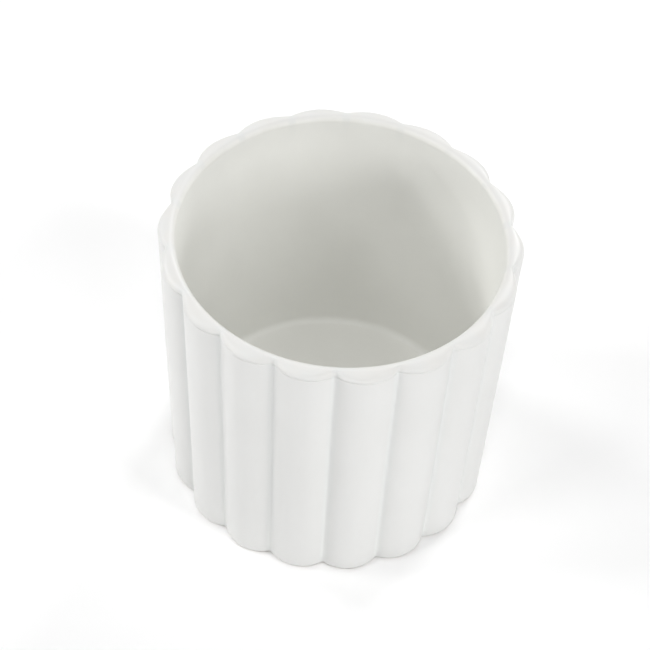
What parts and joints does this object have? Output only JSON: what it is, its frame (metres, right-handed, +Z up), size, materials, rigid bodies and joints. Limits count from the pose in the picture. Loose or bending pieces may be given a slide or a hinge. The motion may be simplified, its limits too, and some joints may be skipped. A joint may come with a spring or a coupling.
{
  "type": "pen holder cup",
  "caption": "Round fluted stoneware desk cup for pens, with a smooth bore, a rolled lip, a foot ring and silicone foot pads.",
  "frame": {"origin": "under the middle of the cup, in the plane of the desk that the foot pads stand on", "axes": "+Z up along the cup's own axis, out of its mouth; -Y is the side that faces the viewer, +X is to that viewer's right"},
  "size_m": [0.09, 0.089, 0.0846],
  "materials": {
    "glazed_stoneware": "white glazed stoneware, smooth satin gloss",
    "silicone": "pale translucent silicone rubber",
    "adhesive_tape": "thin white double-sided tape"
  },
  "bodies": {
    "root": {"cup_body": "glazed_stoneware", "foot_pad_1": "silicone", "foot_pad_2": "silicone", "foot_pad_3": "silicone", "foot_pad_4": "silicone", "pad_adhesive_1": "adhesive_tape", "pad_adhesive_2": "adhesive_tape", "pad_adhesive_3": "adhesive_tape", "pad_adhesive_4": "adhesive_tape"}
  },
  "joints": []
}
